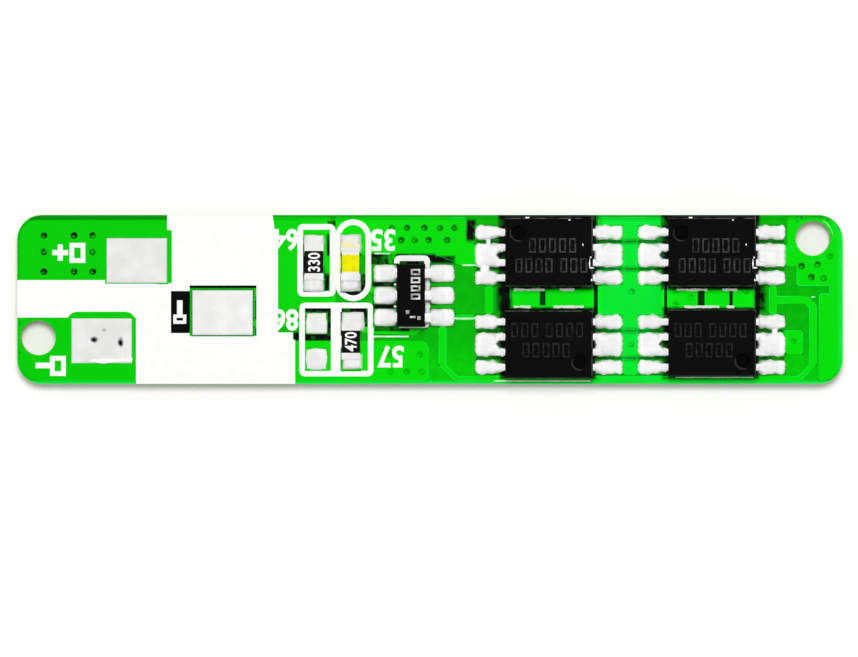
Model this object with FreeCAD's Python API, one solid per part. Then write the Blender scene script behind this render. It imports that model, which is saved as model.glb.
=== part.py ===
import FreeCAD, Part
import math
import os

# Battery management board: a long narrow circuit board with four dual transistors and their controller.
# Millimetres. The origin lies under the middle of the board, on the face it rests on.
# +X runs along the board, away from the output pads, and +Z points out of the component side.

Vector = FreeCAD.Vector

# Board and its layers
board_length = 35.5
board_width = 7.26
board_corner = 1.05
laminate_thickness = 0.8
copper_thickness = 0.035
mask_thickness = 0.025
print_thickness = 0.02
tin_thickness = 0.05
back_tin_thickness = 0.02
copper_to_edge = 0.12
mask_skirt = 0.03
copper_gap = 0.2
land_gap = 0.12
hole_gap = 0.28

# Locating holes, each set in from its own end and long edge
hole_diameter = 1.5
left_hole_from_end = 0.9
left_hole_from_edge = 1.98
right_hole_from_end = 1.28
right_hole_from_edge = 1.0

# Plated vias
via_drill = 0.3
via_plating = 0.03
via_land = 0.5

# Short straight sides that stand for small round outlines
via_sides = 6
corner_sides = 3
ring_sides = 16

# Tinned pads for the output wires and the temperature sensor
wire_pad_length = 2.6
wire_pad_width = 1.93
plus_pad_x = -12.61
plus_pad_y = 1.67
minus_pad_x = -14.12
minus_pad_y = -1.78
sense_pad_x = -8.92
sense_pad_y = -0.57

# Cell pads on the back, near the two ends
cell_pad_length = 3.2
cell_pad_width = 4.0
cell_pad_from_end = 5.35

# Eight-lead transistor package
fet_body_length = 3.8
fet_body_width = 3.06
fet_body_height = 0.95
fet_standoff = 0.08
fet_lead_pitch = 0.65
fet_lead_width = 0.28
fet_lead_thickness = 0.13
fet_lead_span = 6.0
fet_foot_length = 0.42
fet_rows = 4
fet_land_end = 3.16
fet_land_start = 2.2
fet_outer_land_width = 0.6
fet_middle_land_width = 1.0
fet_draft = 0.1
dimple_inset = 0.62
fet_dimple_radius = 0.3
fet_dimple_depth = 0.06
fet_column_spacing = 7.0
first_fet_x = 5.11
upper_fet_y = 1.9
lower_fet_y = -1.94
upper_body_shift = 0.17

# Six-lead controller package
controller_body_length = 1.24
controller_body_width = 2.7
controller_body_height = 1.0
controller_standoff = 0.06
controller_lead_pitch = 0.95
controller_lead_width = 0.4
controller_lead_thickness = 0.14
controller_lead_span = 2.9
controller_foot_length = 0.4
controller_rows = 3
controller_x = -0.68
controller_y = 0.17
controller_body_shift = -0.14
controller_draft = 0.06
controller_land_start = 0.72
controller_land_end = 1.72
controller_land_width = 0.74

# How far a lead reaches into its plastic body
lead_entry = 0.25

# Chip resistors and the chip capacitor
chip_length = 1.6
chip_width = 0.8
chip_cap_length = 0.32
cap_wrap = 0.03
resistor_height = 0.4
cap_edge = 0.05
capacitor_height = 0.75
chip_land_length = 0.9
chip_land_width = 0.78
spare_land_width = 0.86
chip_land_spacing = 1.54
upper_resistor_x = -4.98
upper_resistor_y = 1.6
capacitor_x = -3.41
capacitor_y = 1.57
lower_resistor_x = -3.4
lower_resistor_y = -1.82
spare_x = -4.88
spare_y = -1.8

# Solder
solder_height = 0.17
solder_slope = 0.1
chip_solder_height = 0.24
solder_film = 0.02

# Edges of the front copper areas
band_middle = 0.0
chip_split_x = -4.17
label_area_left = -7.3
label_area_lower = -0.72
label_area_right = -5.75
return_right = -0.08
return_upper = -1.81
return_corner = 0.3
source_lower = 1.93
source_shoulder_x = 0.3
source_right = 1.55
source_notch = 2.38
source_lip_x = 1.4
source_lip = 1.46
centre_left = 7.25
centre_right = 10.04
drain_blocks = [(3.46, 4.69), (5.0, 7.01), (10.23, 11.48), (11.84, 12.84), (13.05, 13.93)]
drain_block_reach = 0.6
row_slot = 0.12
end_area_left = 15.79
end_area_lower = 0.6
end_band_lower = 0.23
end_link_left = 17.2
end_lower_left = 16.75
patch_lower = -2.33
patch_upper = -1.36
patch_right = 16.0

# Tracks on the front
gate_track = 0.28
edge_track = 0.18
signal_track = 0.24
left_gate_x = 2.54
right_gate_x = 14.74
drop_track_x = 0.54
edge_track_y = -3.42
end_track_x = 16.47
end_track_y = -0.02
track_bend = 0.3

# Dark box with no copper beside the sense pad
sense_box_left = -11.14
sense_box_right = -10.34
sense_box_lower = -1.45
sense_box_upper = 0.36

# Edges of the back copper areas
back_plus_right = -10.2
back_return_left = -9.9
back_return_right = 10.6
back_minus_left = 10.9
back_strip_left = -3.2
back_strip_lower = 0.3

# White print
print_line = 0.24
band_lower = -0.78
band_upper = 0.83
print_clearance = 0.2
minus_window_left = -15.6
minus_window_right = -12.67
minus_window_upper = -0.53
plus_window_right = -11.1
plus_window_upper = 2.98
plus_window_lower = 0.7
block_left = -11.3
block_lower = 0.6
block_right_top = -6.77
block_right = -6.54
block_shoulder = 2.05
sense_window_right = -7.46
sense_window_lower = -1.57
sense_window_upper = 0.6
lower_block_left = -12.64
lower_block_right = -5.8
lower_block_shoulder = -1.4
lower_block_step = 0.35
resistor_box = (-5.7, 0.12, -4.06, 3.24)
capacitor_box = (-4.08, -0.07, -2.53, 3.44)
double_box = (-5.62, -3.31, -2.43, -0.14)
double_box_wall_left = -4.26
double_box_wall_right = -3.8
controller_box = (-1.55, -1.23, 0.0, 1.89)
package_line = 0.12
package_line_reach = 1.5
upper_package_line_y = 0.42
lower_package_line_y = -0.32

# Levels and edges that follow from these
half_length = board_length / 2
half_width = board_width / 2
laminate_bottom = mask_thickness + copper_thickness
laminate_top = laminate_bottom + laminate_thickness
copper_top = laminate_top + copper_thickness
mask_top = copper_top + mask_thickness
bare_mask_top = laminate_top + mask_thickness
bare_mask_bottom = laminate_bottom - mask_thickness
tin_top = copper_top + tin_thickness
print_top = mask_top + print_thickness
part_seat = copper_top + solder_film
left_hole_x = left_hole_from_end - half_length
left_hole_y = left_hole_from_edge - half_width
right_hole_x = half_length - right_hole_from_end
right_hole_y = half_width - right_hole_from_edge
hole_radius = hole_diameter / 2
fet_columns = [first_fet_x, first_fet_x + fet_column_spacing]
flat_tolerance = 1e-6

# Height of the prisms that flat regions are worked out with, and spare reach of a cut right through
working_height = 1.0
through = 1.0


def rectangle(left, lower, right, upper, radius=0.0):
    """Flat face, with corners rounded by a few short sides."""
    if radius <= 0:
        return Part.makePlane(right - left, upper - lower, Vector(left, lower, 0))
    centres = [
        (right - radius, upper - radius),
        (left + radius, upper - radius),
        (left + radius, lower + radius),
        (right - radius, lower + radius),
    ]
    points = []
    for quarter, (x, y) in enumerate(centres):
        for side in range(corner_sides + 1):
            turn = math.pi / 2 * (quarter + side / corner_sides)
            points.append((x + radius * math.cos(turn), y + radius * math.sin(turn)))
    return polygon(*points)


def rounded(left, lower, right, upper, radius):
    """Flat face with true arcs at its corners."""
    diagonal = radius * math.sqrt(0.5)
    edges = []
    corners = [
        (right - radius, lower + radius, 1, -1),
        (right - radius, upper - radius, 1, 1),
        (left + radius, upper - radius, -1, 1),
        (left + radius, lower + radius, -1, -1),
    ]
    ends = []
    for x, y, sx, sy in corners:
        on_side = Vector(x + sx * radius, y, 0)
        on_level = Vector(x, y + sy * radius, 0)
        middle = Vector(x + sx * diagonal, y + sy * diagonal, 0)
        if sx * sy < 0:
            ends.append((on_level, middle, on_side))
        else:
            ends.append((on_side, middle, on_level))
    for number, (start, middle, end) in enumerate(ends):
        edges.append(Part.Arc(start, middle, end).toShape())
        following = ends[(number + 1) % len(ends)][0]
        if end.distanceToPoint(following) > flat_tolerance:
            edges.append(Part.LineSegment(end, following).toShape())
    return Part.Face(Part.Wire(edges))


def pad(x, y, length, width):
    """Face centred on a point."""
    return rectangle(x - length / 2, y - width / 2, x + length / 2, y + width / 2)


def disc(x, y, radius):
    return Part.Face(Part.Wire(Part.makeCircle(radius, Vector(x, y, 0))))


def polygon(*points):
    corners = [Vector(x, y, 0) for x, y in points]
    return Part.Face(Part.makePolygon(corners + corners[:1]))


def half_span(box):
    left, lower, right, upper = box
    return (right - left) / 2 - flat_tolerance


def inset(box, by, radius=0.0):
    left, lower, right, upper = box
    make = rounded if radius > 0 else rectangle
    return make(left + by, lower + by, right - by, upper - by, radius)


def small_round(x, y, radius, sides=via_sides):
    """Round outline too small to need more than a few flat sides."""
    turns = [2 * math.pi * (corner + 0.5) / sides for corner in range(sides)]
    return polygon(*[(x + radius * math.cos(turn), y + radius * math.sin(turn)) for turn in turns])


def prisms(region, low, high):
    """Upright solids over each face of a flat region."""
    solids = []
    for face in region.Faces:
        level = face if face.normalAt(0, 0).z > 0 else face.reversed()
        solid = level.extrude(Vector(0, 0, high - low))
        solid.translate(Vector(0, 0, low))
        solids.append(solid)
    return solids


def footprint(solids):
    """Flat region on which upright solids stand at height zero."""
    floors = [face for face in solids.Faces if face.BoundBox.ZMax < flat_tolerance]
    return Part.makeCompound(floors)


def joined(faces):
    """One region from faces that touch or overlap."""
    solids = [solid for face in faces for solid in prisms(face, 0, working_height)]
    if len(solids) == 1:
        return footprint(solids[0])
    return footprint(solids[0].multiFuse(solids[1:]).removeSplitter())


def without(region, faces):
    """Region less the faces."""
    kept = Part.makeCompound(prisms(region, 0, working_height))
    cutters = [solid for face in faces for solid in prisms(face, 0, working_height)]
    return footprint(kept.cut(cutters).removeSplitter())


def inside(region, limit):
    """Part of a region within the limit."""
    kept = Part.makeCompound(prisms(region, 0, working_height))
    return footprint(kept.common(prisms(limit, 0, working_height)).removeSplitter())


def strip(width, *points):
    """Area of one width along straight runs, mitred at its bends and square at its ends."""
    runs = []
    for (x0, y0), (x1, y1) in zip(points, points[1:]):
        length = math.hypot(x1 - x0, y1 - y0)
        runs.append(((x1 - x0) / length, (y1 - y0) / length))
    left = []
    right = []
    for number, (x, y) in enumerate(points):
        ux, uy = runs[max(number - 1, 0)]
        vx, vy = runs[min(number, len(runs) - 1)]
        reach = width / 2 / (1 + ux * vx + uy * vy)
        left.append((x - (uy + vy) * reach, y + (ux + vx) * reach))
        right.append((x + (uy + vy) * reach, y - (ux + vx) * reach))
    return polygon(*left, *reversed(right))


def slab(region, low, high):
    """Layer of one thickness over a flat region."""
    return Part.makeCompound(prisms(region, low, high))


def hole_drills():
    """Cutters for the two locating holes."""
    low = -through
    depth = laminate_top + 2 * through
    return [Part.makeCylinder(hole_radius, depth, Vector(x, y, low)) for x, y in hole_places()]


def save(name, shape):
    """Write one named piece or group of pieces."""
    solids = shape.Solids
    body = solids[0] if len(solids) == 1 else Part.makeCompound(solids)
    if not body.isValid() or not solids:
        raise ValueError(name)
    body.exportStep(os.path.join("parts", name + ".step"))


def grid_row(y, *xs):
    return [(x, y) for x in xs]


def hole_places():
    return [(left_hole_x, left_hole_y), (right_hole_x, right_hole_y)]


def via_places():
    """Vias between the front and back copper, in groups."""
    plus_group = grid_row(2.75, -16.6, -15.3, -14.5) + grid_row(2.05, -16.6, -14.5)
    plus_group += grid_row(1.2, -16.6, -15.3, -14.5)
    upper_group = grid_row(3.08, -1.62, -1.0, -0.24, 0.42, 1.06)
    upper_group += grid_row(2.56, -1.24, -0.66, -0.06, 0.74)
    lower_group = grid_row(-3.1, -2.38, -1.68, -1.0, -0.36)
    lower_group += grid_row(-2.36, -2.38, -1.72, -0.43)
    end_group = [(15.98, 1.44), (16.66, 1.5), (17.2, 1.86), (16.4, 0.96), (16.92, 0.92)]
    link_group = [(8.68, 0.34), (8.64, -1.92), (11.2, 0.1), (10.56, -0.22), (10.56, 0.38)]
    link_group += [(13.6, 0.36), (15.62, -1.78)]
    return plus_group + upper_group + lower_group + end_group + link_group


def board_outline():
    return rounded(-half_length, -half_width, half_length, half_width, board_corner)


def copper_limit(skirt):
    """How near the board's edge the copper, or its skirt of mask, may come."""
    right = half_length - copper_to_edge + skirt
    upper = half_width - copper_to_edge + skirt
    return rectangle(-right, -upper, right, upper, board_corner - copper_to_edge + skirt)


def fet_centres():
    """Middle of each transistor's lead rows, its half turn and the shift of its body."""
    upper = [(x, upper_fet_y, 0, upper_body_shift) for x in fet_columns]
    lower = [(x, lower_fet_y, 180, 0) for x in fet_columns]
    return upper + lower


def fet_lands(x, y):
    """Three lands on each side: the two middle leads share one. Each is its centre, length and width."""
    lands = []
    middle = (fet_land_start + fet_land_end) / 2
    length = fet_land_end - fet_land_start
    outer = fet_lead_pitch * (fet_rows - 1) / 2
    for side in (-1, 1):
        lands.append((x + side * middle, y + outer, length, fet_outer_land_width))
        lands.append((x + side * middle, y, length, fet_middle_land_width))
        lands.append((x + side * middle, y - outer, length, fet_outer_land_width))
    return lands


def controller_lands():
    middle = (controller_land_start + controller_land_end) / 2
    length = controller_land_end - controller_land_start
    lands = []
    for side in (-1, 1):
        for row in (-1, 0, 1):
            x = controller_x + side * middle
            y = controller_y + row * controller_lead_pitch
            lands.append((x, y, length, controller_land_width))
    return lands


def chip_lands(x, y, width=chip_land_width):
    offset = chip_land_spacing / 2
    return [(x, y + end * offset, width, chip_land_length) for end in (-1, 1)]


def component_lands():
    """Every land that carries solder or tin for a component."""
    lands = []
    for x, y, turn, shift in fet_centres():
        lands += fet_lands(x, y)
    lands += controller_lands()
    lands += chip_lands(upper_resistor_x, upper_resistor_y)
    lands += chip_lands(lower_resistor_x, lower_resistor_y)
    lands += chip_lands(capacitor_x, capacitor_y)
    lands += chip_lands(spare_x, spare_y, spare_land_width)
    return lands


def wire_pads():
    """Positive and negative output pads, then the sense pad."""
    places = [(plus_pad_x, plus_pad_y), (minus_pad_x, minus_pad_y), (sense_pad_x, sense_pad_y)]
    return [(x, y, wire_pad_length, wire_pad_width) for x, y in places]


def cell_pads():
    """Pads on the back, positive at the left end and negative at the right end."""
    reach = half_length - cell_pad_from_end
    return [(x, 0, cell_pad_length, cell_pad_width) for x in (-reach, reach)]


def front_areas():
    """Wide copper areas on the component side."""
    top = half_width
    low = -half_width
    left = -half_length
    right = half_length
    split = copper_gap / 2
    first_land = first_fet_x - fet_land_end + land_gap
    last_land = fet_columns[-1] + fet_land_end - land_gap
    areas = [
        rectangle(left, band_middle + split, chip_split_x - split, top),
        rectangle(label_area_left, label_area_lower, label_area_right, band_middle + split),
        rectangle(left, low, label_area_left - copper_gap, band_middle - split),
        rectangle(left, low, return_right, return_upper, return_corner),
        polygon(
            (chip_split_x + split, top),
            (source_right, top),
            (source_right, source_notch),
            (first_land, source_notch),
            (first_land, source_lip),
            (source_lip_x, source_lip),
            (source_shoulder_x, source_lower),
            (chip_split_x + split, source_lower),
        ),
        rectangle(centre_left, low, centre_right, top),
        rectangle(end_area_left, end_area_lower, right, top),
        rectangle(last_land, source_lip, end_area_left, source_notch),
        rectangle(end_link_left, end_band_lower, right, end_area_lower),
        rectangle(end_lower_left, low, right, end_band_lower),
        rectangle(last_land, patch_lower, patch_right, patch_upper),
    ]
    for block_start, block_end in drain_blocks:
        areas.append(rectangle(block_start, -drain_block_reach, block_end, drain_block_reach))
    return areas


def edge_runs():
    """The long track from the controller's lower pin, along the lower edge, to the last column's gates."""
    lower_pin = controller_y - controller_lead_pitch
    turn_y = edge_track_y + 2 * track_bend
    overlap_y = turn_y + track_bend
    return [
        (gate_track, (drop_track_x, lower_pin), (drop_track_x, turn_y)),
        (
            edge_track,
            (drop_track_x, overlap_y),
            (drop_track_x, turn_y),
            (drop_track_x + 2 * track_bend, edge_track_y),
            (end_track_x - 2 * track_bend, edge_track_y),
            (end_track_x, turn_y),
            (end_track_x, overlap_y),
        ),
        (
            gate_track,
            (end_track_x, turn_y),
            (end_track_x, end_track_y - track_bend),
            (end_track_x - track_bend, end_track_y),
            (right_gate_x, end_track_y),
        ),
    ]


def front_tracks():
    """Each track on the component side: its width, then its points."""
    upper_lead = upper_fet_y - fet_lead_pitch
    lower_lead = lower_fet_y + fet_lead_pitch
    chip_lower = upper_resistor_y - chip_land_spacing / 2
    sense_y = spare_y + chip_land_spacing / 2
    pin_reach = (controller_land_start + controller_land_end) / 2
    pin_x = controller_x - pin_reach
    lower_pin = controller_y - controller_lead_pitch
    upper_pin = controller_y + controller_lead_pitch
    signal_y = lower_pin - controller_land_width / 2 - 2 * land_gap
    riser_x = controller_x + track_bend
    return edge_runs() + [
        (gate_track, (left_gate_x, upper_lead), (left_gate_x, lower_lead)),
        (gate_track, (right_gate_x, upper_lead), (right_gate_x, lower_lead)),
        (edge_track, (drop_track_x, lower_pin), (left_gate_x, lower_pin)),
        (signal_track, (upper_resistor_x, chip_lower), (capacitor_x, chip_lower), (pin_x, controller_y)),
        (signal_track, (pin_x, upper_pin), (pin_x, source_lower + land_gap)),
        (
            signal_track,
            (lower_resistor_x, signal_y + land_gap),
            (controller_x, signal_y),
            (riser_x, signal_y + track_bend),
            (riser_x, controller_y),
            (controller_x + pin_reach, controller_y),
        ),
        (signal_track, (sense_pad_x, sense_y), (spare_x, sense_y)),
    ]


def isolated_lands():
    """Lands that lie inside a wide area without touching it."""
    return [
        chip_lands(upper_resistor_x, upper_resistor_y)[0],
        chip_lands(capacitor_x, capacitor_y)[0],
        chip_lands(spare_x, spare_y, spare_land_width)[1],
        wire_pads()[2],
    ]


def row_slots(width):
    """Slots that part the three lands of each transistor row in the wide area between the columns."""
    slots = []
    middle = (centre_left + centre_right) / 2
    length = centre_right - centre_left + 2 * through
    outer = fet_lead_pitch * (fet_rows - 1) / 2
    offset = (outer - fet_outer_land_width / 2 + fet_middle_land_width / 2) / 2
    for row_y in (upper_fet_y, lower_fet_y):
        for side in (-1, 1):
            slots.append(pad(middle, row_y + side * offset, length, width))
    return slots


def grown(faces, by):
    """The same faces with their outlines moved outwards and their corners kept sharp."""
    sharp = 2
    return [face.makeOffset2D(by, sharp) if by > 0 else face for face in faces]


def front_copper(skirt=0.0):
    """Areas cleared round tracks and isolated lands, then tracks, lands and via lands, grown by a skirt."""
    gap = 2 * (land_gap - skirt)
    cleared = [strip(width + gap, *points) for width, *points in front_tracks()]
    cleared += [pad(x, y, length + gap, width + gap) for x, y, length, width in isolated_lands()]
    cleared += row_slots(row_slot - 2 * skirt)
    box = (sense_box_left, sense_box_lower, sense_box_right, sense_box_upper)
    cleared.append(inset(box, skirt))
    region = without(joined(grown(front_areas(), skirt)), cleared)
    extra = 2 * skirt
    added = [strip(width + extra, *points) for width, *points in front_tracks()]
    added += [pad(*land) for land in component_lands() + wire_pads()]
    added += [small_round(x, y, via_land / 2 + skirt) for x, y in via_places()]
    return inside(joined([region] + added), copper_limit(skirt))


def back_copper(skirt=0.0):
    """Areas on the back, with the lands of the vias, grown by a skirt."""
    top = half_width
    areas = [
        rectangle(-half_length, -top, back_plus_right, top),
        rectangle(back_return_left, -top, back_return_right, band_middle),
        rectangle(back_minus_left, -top, half_length, top),
        rectangle(back_strip_left, back_strip_lower, half_length, top),
    ]
    lands = [small_round(x, y, via_land / 2 + skirt) for x, y in via_places()]
    return inside(joined(grown(areas, skirt) + lands), copper_limit(skirt))


def pierced(region, gap):
    """Region kept a gap away from the locating holes."""
    return without(region, [small_round(x, y, hole_radius + gap, ring_sides) for x, y in hole_places()])


def print_region():
    """Everything printed white: the wide area, the component boxes and the short lines by the packages."""
    top = half_width
    low = -half_width
    upper_block = polygon(
        (block_left, block_lower),
        (block_right, block_lower),
        (block_right, block_shoulder),
        (block_right_top, top),
        (block_left, top),
    )
    lower_block = polygon(
        (lower_block_left, low),
        (lower_block_right, low),
        (lower_block_right, lower_block_shoulder - lower_block_step),
        (block_right, lower_block_shoulder),
        (lower_block_left, lower_block_shoulder),
    )
    wide = [
        upper_block,
        lower_block,
        rectangle(-half_length, band_lower, block_left, band_upper),
        rectangle(lower_block_left, lower_block_shoulder, block_right, block_lower),
    ]
    windows = [
        rectangle(minus_window_left, low, minus_window_right, minus_window_upper, 2 * print_clearance),
        rectangle(plus_pad_x - wire_pad_length / 2, plus_window_lower, plus_window_right, plus_window_upper),
        rectangle(sense_box_right, sense_window_lower, sense_window_right, sense_window_upper),
        rectangle(sense_box_left, sense_box_lower, sense_box_right, sense_box_upper),
    ]
    region = without(joined(wide), windows)
    left, lower, right, upper = double_box
    inner = print_line
    boxes = [
        without(rectangle(*resistor_box, inner), [inset(resistor_box, inner)]),
        without(
            rounded(*capacitor_box, half_span(capacitor_box)),
            [inset(capacitor_box, inner, half_span(capacitor_box) - inner)],
        ),
        without(
            rectangle(*double_box, inner),
            [
                rectangle(left + inner, lower + inner, double_box_wall_left, upper - inner),
                rectangle(double_box_wall_right, lower + inner, right - inner, upper - inner),
            ],
        ),
        without(rectangle(*controller_box, inner), [inset(controller_box, inner)]),
    ]
    lines = []
    for x in fet_columns:
        for y in (upper_package_line_y, lower_package_line_y):
            lines.append(pad(x, y, 2 * package_line_reach, package_line))
    region = inside(joined([region] + boxes + lines), board_outline())
    lands = component_lands() + wire_pads()
    openings = [pad(x, y, length + land_gap, width + land_gap) for x, y, length, width in lands]
    openings += [disc(x, y, hole_radius) for x, y in hole_places()]
    return without(region, openings)


def make_laminate():
    """Fibreglass with its locating holes, and the plated barrels of the vias in it."""
    drills = [small_round(x, y, via_drill / 2) for x, y in via_places()]
    bores = [small_round(x, y, via_drill / 2 - via_plating) for x, y in via_places()]
    cutters = hole_drills()
    barrels = []
    for drill, bore in zip(drills, bores):
        post = prisms(drill, laminate_bottom, laminate_top)[0]
        cutters.append(post)
        barrels.append(post.cut(prisms(bore, laminate_bottom, laminate_top)))
    laminate = slab(board_outline(), laminate_bottom, laminate_top)
    save("laminate", laminate.cut(cutters))
    save("via_barrels", Part.makeCompound(barrels))


def masked(sheet, raised, copper, openings):
    """Mask over bare laminate and raised over copper, open at the pads, tenting the vias."""
    mask = sheet.fuse(raised.Solids).cut(copper).cut(openings)
    return mask.cut(hole_drills()).removeSplitter()


def make_front():
    """Copper, mask, print and tinned pads of the component side."""
    lands = component_lands() + wire_pads()
    copper = slab(pierced(front_copper(), hole_gap), laminate_top, copper_top)
    save("copper_front", copper)
    sheet = slab(board_outline(), laminate_top, bare_mask_top)
    skirted = pierced(front_copper(mask_skirt), hole_gap - mask_skirt)
    raised = slab(skirted, laminate_top, mask_top)
    openings = slab(joined(grown([pad(*land) for land in lands], mask_skirt)), laminate_top, mask_top)
    mask = masked(sheet, raised, copper, openings)
    save("solder_mask_front", mask)
    ink = slab(print_region(), bare_mask_top, print_top)
    save("silkscreen_front", ink.cut(mask).cut(copper))
    names = ["output_pad_plus", "output_pad_minus", "sense_pad"]
    for name, land in zip(names, wire_pads()):
        save(name, slab(pad(*land), copper_top, tin_top))


def make_back():
    """Copper, mask and cell pads of the side that the board rests on."""
    copper = slab(pierced(back_copper(), hole_gap), mask_thickness, laminate_bottom)
    save("copper_back", copper)
    sheet = slab(board_outline(), bare_mask_bottom, laminate_bottom)
    skirted = pierced(back_copper(mask_skirt), hole_gap - mask_skirt)
    raised = slab(skirted, 0, laminate_bottom)
    openings = slab(joined([pad(*land) for land in cell_pads()]), 0, mask_thickness)
    save("solder_mask_back", masked(sheet, raised, copper, openings))
    low = mask_thickness - back_tin_thickness
    for name, land in zip(["cell_pad_plus", "cell_pad_minus"], cell_pads()):
        save(name, slab(pad(*land), low, mask_thickness))


def tapered(land, low, high, slope):
    """Solid that stands on a land and narrows upwards on every side."""
    x, y, length, width = land
    bottom = pad(x, y, length, width).OuterWire
    top = pad(x, y, length - 2 * slope, width - 2 * slope).OuterWire
    bottom.translate(Vector(0, 0, low))
    top.translate(Vector(0, 0, high))
    return Part.makeLoft([bottom, top], True, True)


def moulded_body(x, y, length, width, low, height, draft):
    """Plastic body that narrows upwards and downwards from its parting line."""
    middle = low + height / 2
    lower_half = tapered((x, y, length - 2 * draft, width - 2 * draft), low, middle, -draft)
    upper_half = tapered((x, y, length, width), middle, low + height, draft)
    return lower_half.fuse(upper_half).removeSplitter()


def gull_wing(root, tip, foot, exit_height, thickness, width):
    """Lead in the XZ plane: out of the body, down, and flat on its land."""
    foot_level = thickness / 2
    knee = tip - foot
    shoulder = (root + lead_entry + knee) / 2
    points = [(root, exit_height), (shoulder, exit_height), (knee, foot_level), (tip, foot_level)]
    outline = strip(thickness, *points)
    outline.rotate(Vector(0, 0, 0), Vector(1, 0, 0), 90)
    outline.translate(Vector(0, width / 2, 0))
    return outline.extrude(Vector(0, -width, 0))


def lead_frame(rows, pitch, lead):
    """Leads on both sides of a package that is centred on the origin."""
    leads = []
    for row in range(rows):
        y = (row - (rows - 1) / 2) * pitch
        for turn in (0, 180):
            copy = lead.copy()
            copy.rotate(Vector(0, 0, 0), Vector(0, 0, 1), turn)
            copy.translate(Vector(0, y, 0))
            leads.append(copy)
    return Part.makeCompound(leads)


def moved(shape, x, y, z, turn=0):
    copy = shape.copy()
    copy.rotate(Vector(0, 0, 0), Vector(0, 0, 1), turn)
    copy.translate(Vector(x, y, z))
    return copy


def soldered(lands, height, slope, parts):
    """Solder on each land, shaped round the metal and plastic that stand in it."""
    blobs = [tapered(land, copper_top, copper_top + height, slope) for land in lands]
    return Part.makeCompound(blobs).cut(parts)


def make_transistors():
    root = fet_body_length / 2 - lead_entry
    exit_height = fet_standoff + fet_body_height / 2 - solder_film
    tip = fet_lead_span / 2
    lead = gull_wing(root, tip, fet_foot_length, exit_height, fet_lead_thickness, fet_lead_width)
    frame = lead_frame(fet_rows, fet_lead_pitch, lead)
    for number, (x, y, turn, shift) in enumerate(fet_centres(), 1):
        leads = moved(frame, x, y, part_seat)
        low = copper_top + fet_standoff
        body = moulded_body(0, 0, fet_body_length, fet_body_width, low, fet_body_height, fet_draft)
        dimple_x = dimple_inset - fet_body_length / 2
        dimple_y = fet_body_width / 2 - dimple_inset
        dimple_base = low + fet_body_height - fet_dimple_depth
        dimple = small_round(dimple_x, dimple_y, fet_dimple_radius, ring_sides)
        body = body.cut(prisms(dimple, dimple_base, dimple_base + through))
        body = moved(body, x, y + shift, 0, turn).cut(leads.Solids)
        save("transistor_%d_body" % number, body)
        save("transistor_%d_leads" % number, leads)
        solder = soldered(fet_lands(x, y), solder_height, solder_slope, leads.Solids + [body])
        save("transistor_%d_solder" % number, solder)


def make_controller():
    root = controller_body_length / 2 - lead_entry
    exit_height = controller_standoff + controller_body_height / 2 - solder_film
    tip = controller_lead_span / 2
    thickness = controller_lead_thickness
    lead = gull_wing(root, tip, controller_foot_length, exit_height, thickness, controller_lead_width)
    frame = lead_frame(controller_rows, controller_lead_pitch, lead)
    leads = moved(frame, controller_x + controller_body_shift / 2, controller_y, part_seat)
    low = copper_top + controller_standoff
    centre_x = controller_x + controller_body_shift
    length = controller_body_length
    width = controller_body_width
    body = moulded_body(centre_x, controller_y, length, width, low, controller_body_height, controller_draft)
    body = body.cut(leads.Solids)
    save("controller_body", body)
    save("controller_leads", leads)
    solder = soldered(controller_lands(), solder_height, solder_slope, leads.Solids + [body])
    save("controller_solder", solder)


def block(x, y, length, width, low, high):
    return Part.makeBox(width, length, high - low, Vector(x - width / 2, y - length / 2, low))


def make_chip(name, x, y, height, side_wrap, coat):
    """Ceramic block with a metal cap round each end, standing in its solder."""
    low = part_seat
    high = low + height
    inner_width = chip_width - 2 * side_wrap
    inner_length = chip_length - 2 * cap_wrap
    ceramic = block(x, y, inner_length, inner_width, low + cap_wrap, high - cap_wrap)
    caps = []
    for end in (-1, 1):
        centre = y + end * (chip_length - chip_cap_length) / 2
        cap = block(x, centre, chip_cap_length, chip_width, low, high)
        outer_edges = [edge for edge in cap.Edges if (edge.CenterOfMass.y - centre) * end > 0]
        cap = cap.makeChamfer(cap_edge, outer_edges)
        caps.append(cap.cut(ceramic))
    save(name + "_ceramic", ceramic)
    save(name + "_caps", Part.makeCompound(caps))
    if coat:
        length = chip_length - 2 * chip_cap_length
        save(name + "_coat", block(x, y, length, chip_width, high - cap_wrap, high))
    envelope = block(x, y, chip_length, chip_width, low, high)
    solder = soldered(chip_lands(x, y), chip_solder_height, solder_slope, [envelope])
    save(name + "_solder", solder)


def make_chips():
    make_chip("upper_resistor", upper_resistor_x, upper_resistor_y, resistor_height, 0, True)
    make_chip("lower_resistor", lower_resistor_x, lower_resistor_y, resistor_height, 0, True)
    make_chip("capacitor", capacitor_x, capacitor_y, capacitor_height, cap_wrap, False)
    spare_lands = chip_lands(spare_x, spare_y, spare_land_width)
    spare = [tapered(land, copper_top, tin_top, tin_thickness) for land in spare_lands]
    save("spare_resistor_pads", Part.makeCompound(spare))


os.makedirs("parts", exist_ok=True)
make_laminate()
make_front()
make_back()
make_transistors()
make_controller()
make_chips()
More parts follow.
